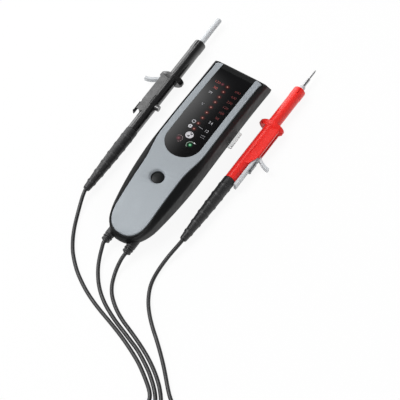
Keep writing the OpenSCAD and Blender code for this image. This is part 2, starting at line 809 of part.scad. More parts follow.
module probe_body(tone, peg) {
    collar_from = barrel_l - 12;
    tube_r = barrel_r - 0.3;
    profile = [
        [0, spigot_end], [spigot_r, spigot_end], [spigot_r, -tube_l], [tube_r - 0.2, -tube_l],
        [tube_r, heel_end], [tube_r + 0.1, -5], [barrel_r, 2], [barrel_r - 0.1, collar_from],
        [barrel_r + 0.2, collar_from + 0.6], [barrel_r + 0.2, barrel_l - 1.4],
        [barrel_r, barrel_l - 0.5], [barrel_r - 0.6, barrel_l], [0, barrel_l]
    ];
    color(tone)
        difference() {
            union() {
                turned(profile, 56);
                guard();
                extruded_y(rounded_box_points(0, box_x, box_half, 1.6), heel_end, -1);
                if (peg)
                    spacer_peg();
            }
            slope_cut();
            rod_y(sleeve_r + slide_fit, bulkhead_front, barrel_l + 1);
            rod_y(shank_r + loose_fit, bulkhead_back - 1, bulkhead_front + 1);
            rod_y(core_r, spigot_end - 1, bulkhead_back);
            box([1, bulkhead_front + 1, -bridge_half - seat], [bar_in, -3, bridge_half + seat]);
            box([bar_in - seat, heel_end - 5, -slot_half], [bar_out + seat, -3, slot_half]);
            box([bar_out, box_end - 5, -blade_half - seat], [box_x + 5, -3, blade_half + seat]);
            box([bar_out + seat, heel_end - 5, -box_half - 1], [box_x + 5, box_end, box_half + 1]);
            for (turn = [14, 166])
                rotate([0, turn, 0])
                    box([-0.7, barrel_l - 10, barrel_r - 0.8], [0.7, barrel_l + 1, barrel_r + 2]);
            for (side = [-1, 1])
                box([0.3, -42, side*(box_half + 0.4) - 0.9], [1.6, -29.5, side*(box_half + 0.4) + 0.9]);
        }
}

// Peg on the side away from the lever
module spacer_peg() {
    translate([-barrel_r + 1.5, box_end + 0.3, -2.2])
        rotate([0, -90, 0])
            cylinder(h = 4.8, r = 3.2, $fn = 32);
}

// The box's upper half ends in a slope, where the slider's tail comes out
module slope_cut() {
    translate([0, 0, slot_half - 0.6])
        linear_extrude(height = 10)
            polygon([[box_x + 5, box_end], [box_x, box_end], [barrel_r - 0.6, heel_end + 0.5],
                [barrel_r - 0.6, heel_end - 5], [box_x + 5, heel_end - 5]]);
}

// Black stop beside the slider's tail, with a lug at its end
module end_stop() {
    color("#303134") {
        difference() {
            union() {
                box([bar_out + seat, stop_end + 1, -box_half + 0.3], [box_x, root_back - seat, -0.4]);
                translate([box_x - 0.8, stop_end + 1.6, -box_half + 1.4])
                    cylinder(h = box_half - 1.8, r = 1.7, $fn = 32);
            }
            box([bar_in, stop_end - 5, -box_half - 1], [bar_out + seat, box_end, 1]);
        }
    }
}

// Slider, drawn back: sleeve, bridge, bar with its tail, and thumb lever
module slider() {
    color(sleeve_tone)
        difference() {
            union() {
                rod_y(sleeve_r, bulkhead_front + 3, barrel_l + sleeve_out);
                box([1.4, root_back + 1.5, -bridge_half], [bar_in + 1, root_front, bridge_half]);
                box([bar_in, tail_end, -bar_half], [bar_out, root_front, bar_half]);
                box([bar_out - 0.5, root_back, -blade_half], [box_x + 0.8, root_front, blade_half]);
                lever();
            }
            rod_y(rod_r + seat, bulkhead_front - 1, barrel_l + 20);
        }
}

// Thumb lever: blade that sweeps back and then turns straight out
module lever() {
    start = box_x + 0.5;
    reach = lever_reach - start;
    sweep = 7;
    front_edge = [for (i = [0 : 8])
        let(t = i/8) [start + reach*t, root_front - 0.3 - sweep*sin(90*t)]];
    back_edge = [for (i = [8 : -1 : 0])
        let(t = i/8, thick = 4 - 0.9*t) [start + reach*t, root_front - 0.3 - thick - sweep*sin(90*t)]];
    translate([0, 0, -blade_half])
        linear_extrude(height = 2*blade_half)
            polygon(concat(front_edge, back_edge));
}

// Contact: rod with a stepped slim point
module contact() {
    bare_from = barrel_l + sleeve_out;
    tip = bare_from + bare_l;
    color("#c8cacc")
        turned([
            [0, rod_end], [shank_r, rod_end], [shank_r, bare_from + 0.4], [rod_r, bare_from + 0.7],
            [rod_r, bare_from + 0.45*bare_l],
            [point_r + 0.2, bare_from + 0.49*bare_l], [point_r, bare_from + 0.5*bare_l],
            [point_r, tip - 4], [point_r - 0.3, tip - 1.8], [0.15, tip], [0, tip]
        ], 32);
}

module crimp() {
    color("#b9a46a")
        difference() {
            rod_y(core_r - 0.4, rod_end - 6, rod_end + 6, 32);
            rod_y(lead_r + loose_fit, rod_end - 7, rod_end, 32);
            rod_y(shank_r + loose_fit, rod_end - 1, rod_end + 7, 32);
        }
}

module lead_end() {
    color("#2a2b2e")
        rod_y(lead_r, -tube_l - grip_l, rod_end, 24);
}

// Grip: tapering rubber boot with raised bands
grip_end = -tube_l - grip_l;
function grip_skin(y) =
    let(t = (-tube_l - y)/grip_l)
    between(grip_r, grip_end_r, pow(t, 2.3));
band_pitch = (grip_l - 8)/grip_bands;
module grip() {
    bands = [for (i = [0 : grip_bands - 1])
        let(y = -tube_l - 9 - i*band_pitch)
        each [[grip_skin(y) - 0.1, y], [grip_skin(y) + 0.3, y - 0.7],
            [grip_skin(y) + 0.25, y - 2.6], [grip_skin(y - 3.6) - 0.05, y - 3.6]]];
    profile = concat([[spigot_r + loose_fit, -tube_l], [grip_r - 0.6, -tube_l], [grip_r, -tube_l - 1]],
        bands,
        [[grip_end_r, grip_end + 1], [grip_end_r - 0.4, grip_end], [lead_r + loose_fit, grip_end],
            [lead_r + loose_fit, spigot_end - seat], [spigot_r + loose_fit, spigot_end - seat]]);
    color("#26272a")
        turned(profile);
}

// Places of the two probes: the black one lies with its other face up
module at_black() {
    translate([black_at[0], black_at[1], guard_rise])
        rotate([0, 0, black_turn])
            rotate([0, 180, 0])
                children();
}

module at_red() {
    translate([red_at[0], red_at[1], guard_rise])
        rotate([0, 0, red_turn])
            children();
}

function lead_exit(at, turn, out = 0) =
    [at[0] - sin(turn)*(grip_end - out), at[1] + cos(turn)*(grip_end - out), guard_rise];

function gland_exit(x) = [for (out = [0, 2]) [x, gland_end_y - out, gland_z]];
function probe_exit(at, turn) = [for (out = [2, 0]) lead_exit(at, turn, out)];

module black_probe_body() { at_black() probe_body("#2b2b2e", true); }
module black_end_stop() { at_black() end_stop(); }
module black_sleeve() { at_black() translate([0, slide_travel, 0]) slider(); }
module black_contact() { at_black() contact(); }
module black_crimp() { at_black() crimp(); }
module black_grip() { at_black() grip(); }
module black_lead_end() { at_black() lead_end(); }
module red_probe_body() { at_red() probe_body(red_tone, false); }
module red_end_stop() { at_red() end_stop(); }
module red_sleeve() { at_red() slider(); }
module red_contact() { at_red() contact(); }
module red_crimp() { at_red() crimp(); }
module red_grip() { at_red() grip(); }
module red_lead_end() { at_red() lead_end(); }

module black_lead_out() { tube(concat(gland_exit(-gland_x), black_out_route)); }
module black_lead_coil() { coil(black_coil_at, black_coil_r); }
module black_lead_in() { tube(concat(black_in_route, probe_exit(black_at, black_turn))); }
module red_lead_out() { tube(concat(gland_exit(gland_x), red_out_route)); }
module red_lead_coil() { coil(red_coil_at, red_coil_r); }
module red_lead_in() { tube(concat(red_in_route, probe_exit(red_at, red_turn))); }

rear_housing();
front_cover();
display_window();
lamp_mask();
voltage_lamps();
state_lamps();
circuit_board();
input_resistors();
buzzer();
push_button();
button_switch();
batteries();
battery_contacts();
battery_door();
door_screw();
housing_screws();
probe_clip();
left_gland();
right_gland();
lead_ends();
black_probe_body();
black_end_stop();
black_sleeve();
black_contact();
black_crimp();
black_grip();
black_lead_end();
red_probe_body();
red_end_stop();
red_sleeve();
red_contact();
red_crimp();
red_grip();
red_lead_end();
black_lead_out();
black_lead_coil();
black_lead_in();
red_lead_out();
red_lead_coil();
red_lead_in();
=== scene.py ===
import json
import math

import bmesh
import bpy
from mathutils import Matrix, Vector


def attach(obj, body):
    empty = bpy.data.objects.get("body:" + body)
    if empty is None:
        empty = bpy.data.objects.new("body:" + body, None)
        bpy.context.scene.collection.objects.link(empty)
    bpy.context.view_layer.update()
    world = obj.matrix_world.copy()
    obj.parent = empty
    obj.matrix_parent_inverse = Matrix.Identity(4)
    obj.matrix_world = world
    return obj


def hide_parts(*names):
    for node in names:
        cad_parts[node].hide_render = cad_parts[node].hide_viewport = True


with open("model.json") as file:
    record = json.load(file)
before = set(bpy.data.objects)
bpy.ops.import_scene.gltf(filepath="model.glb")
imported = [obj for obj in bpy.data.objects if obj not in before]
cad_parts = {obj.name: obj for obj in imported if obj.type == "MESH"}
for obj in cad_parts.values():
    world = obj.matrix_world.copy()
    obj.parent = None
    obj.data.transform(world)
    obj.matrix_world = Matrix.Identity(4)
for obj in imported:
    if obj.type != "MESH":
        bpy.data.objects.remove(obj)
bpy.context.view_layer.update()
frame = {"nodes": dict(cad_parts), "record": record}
nodes = frame["nodes"]
scene = bpy.context.scene
MM = 0.001


# ---------------------------------------------------------------- shared helpers
def linked(name, data):
    """A new object in the scene."""
    o = bpy.data.objects.new(name, data)
    scene.collection.objects.link(o)
    return o


def looking(o, place, target):
    """Puts a camera or lamp at a place and turns it to a target."""
    o.location = place
    o.rotation_mode = "QUATERNION"
    o.rotation_quaternion = (Vector(target) - Vector(place)).to_track_quat("-Z", "Y")


def on_tester(name, data, material):
    """A new piece that moves with the tester."""
    o = linked(name, data)
    data.materials.clear()
    data.materials.append(material)
    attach(o, "tester")
    return o


def calculated(tree, operation, a, b):
    """A Math node; a and b are numbers or other nodes' outputs."""
    n = tree.nodes.new("ShaderNodeMath")
    n.operation = operation
    for socket, value in zip(n.inputs, (a, b)):
        if isinstance(value, (int, float)):
            socket.default_value = value
        else:
            tree.links.new(value, socket)
    return n.outputs[0]


def mapped(tree, value, source, low, high, kind="LINEAR"):
    """Maps a range of a value to low and high."""
    m = tree.nodes.new("ShaderNodeMapRange")
    m.interpolation_type = kind
    m.inputs["From Min"].default_value, m.inputs["From Max"].default_value = source
    m.inputs["To Min"].default_value = low
    m.inputs["To Max"].default_value = high
    tree.links.new(value, m.inputs["Value"])
    return m.outputs["Result"]


# ---------------------------------------------------------------- camera
CAMERA_AT = (0.34939, -0.50801, 0.96210)
CAMERA_AIM = (0.03819, -0.01975, 0.0)

cam_data = bpy.data.cameras.new("camera")
camera = linked("camera", cam_data)
scene.camera = camera
cam_data.sensor_width = 36.0
cam_data.lens = 99.0
cam_data.clip_start = 0.05
cam_data.clip_end = 20.0
looking(camera, CAMERA_AT, CAMERA_AIM)


# ---------------------------------------------------------------- materials
SOCKETS = {"specular": "Specular IOR Level", "coat": "Coat Weight",
           "coat_rough": "Coat Roughness", "clear": "Transmission Weight",
           "ior": "IOR", "metal": "Metallic"}
MIDDLE = (0.3, 0.7)         # the part of a noise's range that most of it lies in
MOSTLY_Y = (0.05, 1, 0.05)  # scale at which a noise changes along Y and hardly across it

# Noise scales, in cells per metre
TONE_PATCHES = 38.0
GLOSS_PATCHES = 120.0
PAINT_FLAKES = 2600.0
PAINT_PATCHES = 90.0
PAINT_GRAIN = 1900.0
METAL_RINGS = 900.0
METAL_GLOSS = 1500.0
PRINT_PATCHES = 700.0

# Depths of the bumps, in metres
GRAIN_DEPTH = 0.00006
PAINT_DEPTH = 0.00004


def shader(name, color, rough, **more):
    """A Principled material; more holds plain socket values by their short names."""
    m = bpy.data.materials.new(name)
    m.use_nodes = True
    p = m.node_tree.nodes["Principled BSDF"]
    p.inputs["Base Color"].default_value = (*color, 1)
    p.inputs["Roughness"].default_value = rough
    for key, value in more.items():
        p.inputs[SOCKETS[key]].default_value = value
    return m, m.node_tree, p


def coords(tree, scale=(1, 1, 1)):
    """Position on the piece in metres, scaled."""
    c = tree.nodes.new("ShaderNodeTexCoord")
    m = tree.nodes.new("ShaderNodeMapping")
    m.inputs["Scale"].default_value = scale
    tree.links.new(c.outputs["Object"], m.inputs["Vector"])
    return m.outputs["Vector"]


def noise(tree, vector, scale, detail=3.0):
    n = tree.nodes.new("ShaderNodeTexNoise")
    n.inputs["Scale"].default_value = scale
    n.inputs["Detail"].default_value = detail
    n.inputs["Roughness"].default_value = 0.55
    tree.links.new(vector, n.inputs["Vector"])
    return n.outputs["Fac"]


def tinted(color, share):
    """The colour made lighter or darker by a share."""
    return tuple(min(1, x * share) for x in color)


def ramp(tree, factor, stops):
    r = tree.nodes.new("ShaderNodeValToRGB")
    while len(r.color_ramp.elements) < len(stops):
        r.color_ramp.elements.new(0.5)
    for e, (at, color) in zip(r.color_ramp.elements, stops):
        e.position = at
        e.color = (*color, 1)
    tree.links.new(factor, r.inputs["Fac"])
    return r.outputs["Color"]


def bump(tree, p, height, strength, distance):
    b = tree.nodes.new("ShaderNodeBump")
    b.inputs["Strength"].default_value = strength
    b.inputs["Distance"].default_value = distance
    tree.links.new(height, b.inputs["Height"])
    tree.links.new(b.outputs["Normal"], p.inputs["Normal"])


def moulded(name, color, rough, grain=1500.0, strength=0.35, vary=0.12, smooth=False, **more):
    """Moulded plastic or rubber: uneven tone and, unless it is smooth, grain and uneven gloss."""
    m, t, p = shader(name, color, rough, **more)
    v = coords(t)
    c = ramp(t, noise(t, v, TONE_PATCHES, 4.0),
             [(0.3, tinted(color, 1 - vary)), (0.7, tinted(color, 1 + vary))])
    t.links.new(c, p.inputs["Base Color"])
    if not smooth:
        t.links.new(mapped(t, noise(t, v, GLOSS_PATCHES), MIDDLE, rough - 0.05, rough + 0.07),
                    p.inputs["Roughness"])
        bump(t, p, noise(t, v, grain, 2.0), strength, GRAIN_DEPTH)
    return m


def painted(name, color, rough):
    """Metallic paint: fine flakes and a soft sheen."""
    m, t, p = shader(name, color, rough, metal=0.15, specular=0.3)
    v = coords(t)
    flakes = t.nodes.new("ShaderNodeTexVoronoi")
    flakes.inputs["Scale"].default_value = PAINT_FLAKES
    t.links.new(v, flakes.inputs["Vector"])
    c = ramp(t, flakes.outputs["Distance"],
             [(0.0, tinted(color, 1.12)), (0.75, tinted(color, 0.9))])
    t.links.new(c, p.inputs["Base Color"])
    t.links.new(mapped(t, noise(t, v, PAINT_PATCHES), MIDDLE, rough - 0.03, rough + 0.05),
                p.inputs["Roughness"])
    bump(t, p, noise(t, v, PAINT_GRAIN, 2.0), 0.25, PAINT_DEPTH)
    return m


def brushed(name, color, rough):
    """Turned metal: fine rings round the Y axis."""
    m, t, p = shader(name, color, rough, metal=1.0)
    v = coords(t, MOSTLY_Y)
    c = ramp(t, noise(t, v, METAL_RINGS), [(0.3, tinted(color, 0.82)), (0.7, color)])
    t.links.new(c, p.inputs["Base Color"])
    t.links.new(mapped(t, noise(t, v, METAL_GLOSS), MIDDLE, rough, rough + 0.14),
                p.inputs["Roughness"])
    return m


DARK_GLASS = (0.0025, 0.0025, 0.0030)
FINE = dict(grain=240, strength=0.02)      # the nearly smooth skin of the probes
MATS = {
    "black_plastic": moulded("housing_plastic", (0.0060, 0.0063, 0.0067), 0.48, specular=0.12),
    "grey_cover": painted("cover_paint", (0.330, 0.360, 0.386), 0.48),
    "smoked_lens": moulded("lens", DARK_GLASS, 0.05, vary=0.2, smooth=True),
    "red_lamp": moulded("red_lamp", (0.62, 0.05, 0.03), 0.2),
    "green_lamp": moulded("green_lamp", (0.04, 0.5, 0.16), 0.2),
    "board": moulded("board", (0.02, 0.12, 0.06), 0.4),
    "ceramic": moulded("ceramic", (0.6, 0.5, 0.34), 0.7),
    "button_rubber": moulded("button_rubber", (0.008, 0.009, 0.009), 0.32, grain=2200,
                             specular=0.14),
    "cell_jacket": moulded("cell_jacket", (0.42, 0.27, 0.1), 0.3),
    "spring_steel": brushed("plated_steel", (0.55, 0.55, 0.55), 0.25),
    "clear_plastic": moulded("clip_plastic", (0.95, 0.96, 0.96), 0.16, vary=0.02,
                             clear=0.85, ior=1.45),
    "black_rubber": moulded("rubber", (0.008, 0.008, 0.009), 0.48, grain=1300, strength=0.04,
                            specular=0.7),
    "probe_black": moulded("probe_black", (0.010, 0.0095, 0.010), 0.22, **FINE,
                           specular=1.0, coat=0.4, coat_rough=0.2),
    "probe_red": moulded("probe_red", (0.90, 0.030, 0.024), 0.34, **FINE, vary=0.02,
                         specular=0.35, coat=0.3, coat_rough=0.2),
    "sleeve_plastic": moulded("sleeve_plastic", (0.60, 0.62, 0.64), 0.40, **FINE, vary=0.02),
    "contact_metal": brushed("contact_metal", (0.56, 0.56, 0.57), 0.2),
    "crimp_brass": brushed("crimp_brass", (0.6, 0.46, 0.2), 0.3),
}
STOP_GREY = moulded("stop_grey", (0.30, 0.31, 0.32), 0.36, grain=240, strength=0.1)
slot_of = {s["node"]: s["material_slot"] for s in frame["record"]["subparts"]}


# ---------------------------------------------------------------- shading of the CAD nodes
SHARP, ROUND = 28, 42       # edges that turn by less than this are shaded smooth, in degrees
BEVEL_FROM = 35             # edges that turn by more than this are bevelled, in degrees
MERGE_WITHIN = 0.000002


def smooth_group(name, angle):
    """Joins split corners, drops stored normals and shades smooth below an angle."""
    g = bpy.data.node_groups.new(name, "GeometryNodeTree")
    for way in ("INPUT", "OUTPUT"):
        g.interface.new_socket("Geometry", in_out=way, socket_type="NodeSocketGeometry")
    chain = [g.nodes.new(kind) for kind in (
        "NodeGroupInput", "GeometryNodeMergeByDistance", "GeometryNodeRemoveAttribute",
        "GeometryNodeSetShadeSmooth", "GeometryNodeSetShadeSmooth", "NodeGroupOutput")]
    for a, b in zip(chain, chain[1:]):
        g.links.new(a.outputs["Geometry"], b.inputs["Geometry"])
    merge, drop, faces, edges = chain[1:-1]
    merge.inputs["Distance"].default_value = MERGE_WITHIN
    drop.inputs["Name"].default_value = "custom_normal"
    faces.domain = "FACE"
    edges.domain = "EDGE"
    turn = g.nodes.new("GeometryNodeInputMeshEdgeAngle")
    less = g.nodes.new("FunctionNodeCompare")
    less.operation = "LESS_THAN"
    less.inputs["B"].default_value = math.radians(angle)
    g.links.new(turn.outputs["Unsigned Angle"], less.inputs["A"])
    g.links.new(less.outputs["Result"], edges.inputs["Shade Smooth"])
    return g


smooth_below = {angle: smooth_group(f"tidy_{angle}", angle) for angle in (SHARP, ROUND)}


def shaded(o, angle, bevel=0.0):
    """Smooth shading below an angle, and small round edges of a width in millimetres."""
    def smoothed():
        o.modifiers.new("tidy", "NODES").node_group = smooth_below[angle]
    smoothed()
    if bevel:
        b = o.modifiers.new("edge", "BEVEL")
        b.width = bevel * MM
        b.segments = 2
        b.limit_method = "ANGLE"
        b.angle_limit = math.radians(BEVEL_FROM)
        b.use_clamp_overlap = True
        smoothed()
    w = o.modifiers.new("normals", "WEIGHTED_NORMAL")
    w.keep_sharp = True
    w.weight = 60


for name, o in nodes.items():
    o.data.materials.clear()
    o.data.materials.append(STOP_GREY if name == "red_end_stop" else MATS[slot_of[name]])

for name in ("rear_housing", "front_cover"):
    shaded(nodes[name], ROUND)
shaded(nodes["display_window"], SHARP)
for name in ("battery_door", "door_screw", "housing_screws", "probe_clip", "push_button",
             "left_gland", "right_gland", "black_end_stop", "red_end_stop", "black_sleeve",
             "red_sleeve", "black_contact", "red_contact", "black_grip", "red_grip"):
    shaded(nodes[name], SHARP, bevel=0.2)
for name in ("black_probe_body", "red_probe_body"):
    shaded(nodes[name], SHARP, bevel=0.25)


# ---------------------------------------------------------------- leads
LEAD = 0.004                # diameter
RESTING = 0.00205           # height of a lead's middle where it lies on the floor
POINT_STEP = 0.0025         # between the points of a lead's curve
F = RESTING / MM            # the same height in the routes, which are in millimetres

# The coils, in millimetres and degrees
TURN_STEP = 15              # between the points of a turn
COIL_TURNS = 3              # whole turns, besides the part of one from the way in to the way out
COIL_BAND = 4               # from the middle of the wound band to its outer and inner edge
LAYER_RISE = 4.1            # from the lower layer to the upper one
CLIMB_FROM = 0.47           # share of the way at which the lead climbs to the upper layer
CLIMB_SHARE = 0.06

# The probes, in millimetres: the mouth of the grip on the probe's own axis, and its height
GRIP_END = -162.5
GRIP_HEIGHT = 8


def smooth_path(points):
    """Points on a Catmull-Rom curve through the given ones, never under the floor."""
    p = [Vector(q) for q in points]
    p = [2 * p[0] - p[1], *p, 2 * p[-1] - p[-2]]
    out = []
    for i in range(1, len(p) - 2):
        a, b, c, d = p[i - 1:i + 3]
        n = max(1, round((c - b).length / POINT_STEP))
        for k in range(n):
            t = k / n
            q = 0.5 * (2 * b + (c - a) * t + (2 * a - 5 * b + 4 * c - d) * t * t
                       + (3 * b - a - 3 * c + d) * t * t * t)
            q.z = max(q.z, RESTING)
            out.append(q)
    out.append(p[-2])
    return out


def metres(points):
    return [(x * MM, y * MM, z * MM) for x, y, z in points]


def wound(centre, middle, way, first, last):
    """Turns in two layers: in along the floor, then out again on top of them."""
    total = (last - first) * way % 360 + 360 * COIL_TURNS
    steps = round(total / TURN_STEP)
    pts = []
    for k in range(steps + 1):
        s = k / steps
        a = math.radians(first + way * total * s)
        r = middle + COIL_BAND * abs(1 - 2 * s) * 2 - COIL_BAND
        lift = min(1, max(0, (s - CLIMB_FROM) / CLIMB_SHARE))
        z = F + LAYER_RISE * lift * lift * (3 - 2 * lift)
        pts.append((centre[0] + r * math.cos(a), centre[1] + r * math.sin(a), z))
    return metres(pts)


def into_grip(at, turn):
    """The last two points of a lead, on the axis of a probe that lies turned at a place."""
    a = math.radians(turn)
    return metres((at[0] - math.sin(a) * y, at[1] + math.cos(a) * y, GRIP_HEIGHT)
                  for y in (GRIP_END - 2, GRIP_END))


# Each lead from its gland to its coil, and from the coil to its grip
black_out = metres([
    (-12.6, -115.5, 10), (-12.6, -117.5, 10),
    (-10.8, -123, 8.2), (-9.2, -128.3, 5.6), (-7, -133.7, 3.8), (-3.8, -139.9, 2.5),
    (1, -147, F), (7.2, -154.5, F), (14.8, -161.6, F), (24, -168.2, F), (34.8, -174, F),
    (45.7, -178.9, F), (56.2, -182.9, F), (66.7, -187, F), (78, -191.6, F), (88.8, -197.5, F),
    (99.5, -204.3, F), (109.3, -212.2, F), (116.6, -219.6, F), (121, -226, F),
    (125.8, -235.3, F), (131.4, -246, F)])
black_in = metres([
    (111.5, -242.5, 4.6), (114.2, -237.2, 3.2), (115.3, -230.9, 2.3), (113.9, -224.5, F),
    (108.6, -218, F), (97.6, -209.5, F), (86.3, -202, F), (75.6, -196.4, F), (65, -191.5, F),
    (54.8, -187.3, F), (44.5, -183.5, F), (34, -179.9, F), (23.4, -176.3, F), (12.6, -172.1, F),
    (1.6, -167, F), (-8.9, -161, F), (-18.5, -154.5, F), (-27.3, -147, F), (-35.3, -138.8, F),
    (-42.1, -129.6, F), (-47.6, -120.4, F), (-52.1, -111.4, F), (-56, -102.2, 2.6),
    (-59.2, -93.6, 4.2), (-62.2, -84.6, 6.4)])
red_out = metres([
    (12.6, -115.5, 10), (12.6, -117.5, 10),
    (12.3, -121.5, 8.8), (12.5, -127.7, 6.2), (13.5, -134.4, 3.8), (15.6, -141.6, F),
    (19, -149.1, F), (24, -156.3, F), (30.7, -162.7, F), (39, -168.6, F), (48.5, -173.7, F),
    (58.7, -177.9, F), (69, -182.2, F), (80, -187.2, F), (91.3, -193.1, F), (102.5, -200.3, F),
    (112.7, -208.4, F), (120.4, -216.4, F), (126.5, -224.5, F), (133.2, -233.5, F),
    (140.5, -243, F)])
red_in = metres([
    (147.8, -219.7, 4.6), (141.6, -220.1, 3), (135.1, -218, F), (129, -213.8, F), (122, -207, F),
    (114.5, -199, F), (106, -190.3, F), (97, -181.8, F), (87.5, -173.4, F), (77.5, -165, F),
    (68, -156, F), (60, -146.5, F), (54.4, -137.3, F), (50.7, -128.6, F), (48.6, -119.6, F),
    (47.8, -110.6, 2.4), (47.9, -101.3, 3.6), (48.8, -91.6, 5.6), (50.1, -82.6, 7.2)])
black_coil = wound((117.2, -269), 20, -1, 27, 120)
red_coil = wound((171.7, -239.2), 24, 1, 217.6, 125.5)


def lead(name, pts, replaced):
    """A round cord along points, which stands for CAD nodes."""
    curve = bpy.data.curves.new(name, "CURVE")
    curve.dimensions = "3D"
    line = curve.splines.new("POLY")
    line.points.add(len(pts) - 1)
    for q, v in zip(line.points, pts):
        q.co = (*v, 1)
    line.use_smooth = True
    curve.bevel_depth = LEAD / 2
    curve.bevel_resolution = 4
    curve.use_fill_caps = True
    o = on_tester(name, curve, MATS["black_rubber"])
    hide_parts(*replaced)


black_pts = smooth_path(black_out + black_coil + black_in + into_grip((-66.3, 87.3), 0.8))
red_pts = smooth_path(red_out + red_coil + red_in + into_grip((55.9, 90.8), -1.7))
for tag, pts in (("black", black_pts), ("red", red_pts)):
    lead(tag + "_lead", pts, [f"{tag}_lead_{e}" for e in ("out", "coil", "in")])


# ---------------------------------------------------------------- signs on the window
# The face's curve along Y, as in the CAD source, in millimetres
CROWN_Y, CROWN_Z = 20, 40
DISPLAY_DROP, DISPLAY_REACH = 5, 98
LEAD_DROP, LEAD_REACH, LEAD_POWER = 16, 124, 2.6
WINDOW_SINK = 0.2           # from the face down to the window
PRINT_UP = 0.03             # from the window up to a sign
RAISED_UP = 0.06            # the same for a sign on a sign
ROUND_STEPS = 40            # edges of a whole disc


def face(y):
    if y > CROWN_Y:
        return CROWN_Z - DISPLAY_DROP * ((y - CROWN_Y) / DISPLAY_REACH) ** 2
    return CROWN_Z - LEAD_DROP * ((CROWN_Y - y) / LEAD_REACH) ** LEAD_POWER


def on_window(x, y, up=PRINT_UP):
    """Matrix that lays a flat sign, in millimetres, at a place on the curved window."""
    slope = math.atan(face(y + 0.5) - face(y - 0.5))
    return (Matrix.Diagonal((MM, MM, MM, 1))
            @ Matrix.Translation((x, y, face(y) - WINDOW_SINK + up))
            @ Matrix.Rotation(slope, 4, "X"))


def printed(name, color):
    """Ink with a slightly uneven tone."""
    m, t, p = shader(name, color, 0.12)
    c = ramp(t, noise(t, coords(t), PRINT_PATCHES), [(0.35, tinted(color, 0.8)), (0.65, color)])
    t.links.new(c, p.inputs["Base Color"])
    return m


def lamp_glow(name, stops):
    """Light of a lamp behind the dark window, from its rim (0) to its middle (1)."""
    m, t, p = shader(name, DARK_GLASS, 0.05)
    uv = t.nodes.new("ShaderNodeUVMap")
    g = t.nodes.new("ShaderNodeTexGradient")
    g.gradient_type = "SPHERICAL"
    t.links.new(uv.outputs["UV"], g.inputs["Vector"])
    t.links.new(ramp(t, g.outputs["Fac"], stops), p.inputs["Emission Color"])
    p.inputs["Emission Strength"].default_value = 1.0
    return m


WHITE = printed("white_print", (0.42, 0.42, 0.44))
DISC = printed("disc_print", (0.58, 0.57, 0.60))
PALE = printed("pale_green_print", (0.20, 0.27, 0.22))
GREY = printed("grey_print", (0.24, 0.24, 0.26))
DIM_RED = printed("dim_red_print", (0.150, 0.025, 0.025))
LIT_RED = printed("lit_red_print", (0.40, 0.075, 0.065))
PINK = printed("pink_print", (0.19, 0.125, 0.135))
DARK = printed("dark_print", (0.03, 0.03, 0.035))
UNLIT = (0.0, 0.0, 0.0)
RED_GLOW = lamp_glow("red_glow", [
    (0.0, UNLIT), (0.35, (0.018, 0.0005, 0.0003)), (0.70, (0.075, 0.005, 0.003)),
    (0.82, (0.30, 0.09, 0.07)), (0.92, (0.62, 0.36, 0.31)), (1.0, (0.70, 0.44, 0.38))])
DIM_GLOW = lamp_glow("dim_glow", [
    (0.0, UNLIT), (0.40, (0.040, 0.003, 0.006)), (0.75, (0.12, 0.022, 0.035)),
    (1.0, (0.24, 0.09, 0.11))])
GREEN_GLOW = lamp_glow("green_glow", [
    (0.0, UNLIT), (0.35, (0.001, 0.03, 0.01)), (0.62, (0.02, 0.2, 0.07)),
    (0.8, (0.25, 0.6, 0.35)), (1.0, (0.6, 0.9, 0.65))])


def from_bmesh(name, bm, material):
    me = bpy.data.meshes.new(name)
    bm.to_mesh(me)
    bm.free()
    on_tester(name, me, material)


def disc(name, x, y, r, material, hole=0.0, start=0, sweep=360):
    """A whole disc with UVs round its middle, or a ring or an arc of a ring round a hole."""
    bm = bmesh.new()
    uv = bm.loops.layers.uv.new("UVMap")
    place = on_window(x, y)
    n = max(6, round(ROUND_STEPS * sweep / 360))
    turns = [math.radians(start + sweep * k / n) for k in range(n if sweep == 360 else n + 1)]
    ways = [(math.cos(a), math.sin(a)) for a in turns]
    outer, inner = [], []
    for across, along in ways:
        outer.append(bm.verts.new(place @ Vector((r * across, r * along, 0))))
        if hole:
            inner.append(bm.verts.new(place @ Vector((hole * across, hole * along, 0))))
    if not hole:
        middle = bm.verts.new(place @ Vector((0, 0, 0)))
    for k in range(n):
        j = (k + 1) % len(outer)
        if hole:
            bm.faces.new((outer[k], outer[j], inner[j], inner[k]))
        else:
            f = bm.faces.new((outer[k], outer[j], middle))
            for loop, at in zip(f.loops, (ways[k], ways[j], (0, 0))):
                loop[uv].uv = at
    from_bmesh(name, bm, material)


def strokes(name, x, y, shapes, material, up=PRINT_UP):
    """Flat polygons given in millimetres round a place on the window."""
    bm = bmesh.new()
    place = on_window(x, y, up)
    for shape in shapes:
        bm.faces.new([bm.verts.new(place @ Vector((px, py, 0))) for px, py in shape])
    from_bmesh(name, bm, material)


def bar(x0, y0, x1, y1, width):
    """Corners of a straight stroke."""
    d = Vector((x1 - x0, y1 - y0)).normalized() * width / 2
    n = Vector((-d.y, d.x))
    return [(x0 + n.x, y0 + n.y), (x0 - n.x, y0 - n.y),
            (x1 - n.x, y1 - n.y), (x1 + n.x, y1 + n.y)]


def words(name, body, x, y, size, material):
    """Letters or figures as a flat mesh, centred on a place on the window."""
    c = bpy.data.curves.new(name, "FONT")
    c.body = body
    c.size = size
    c.align_x = "CENTER"
    c.align_y = "CENTER"
    c.resolution_u = 3
    text = linked(name + "_tmp", c)
    bpy.context.view_layer.update()
    me = bpy.data.meshes.new_from_object(text)
    bpy.data.objects.remove(text)
    me.transform(on_window(x, y))
    me.name = name
    on_tester(name, me, material)


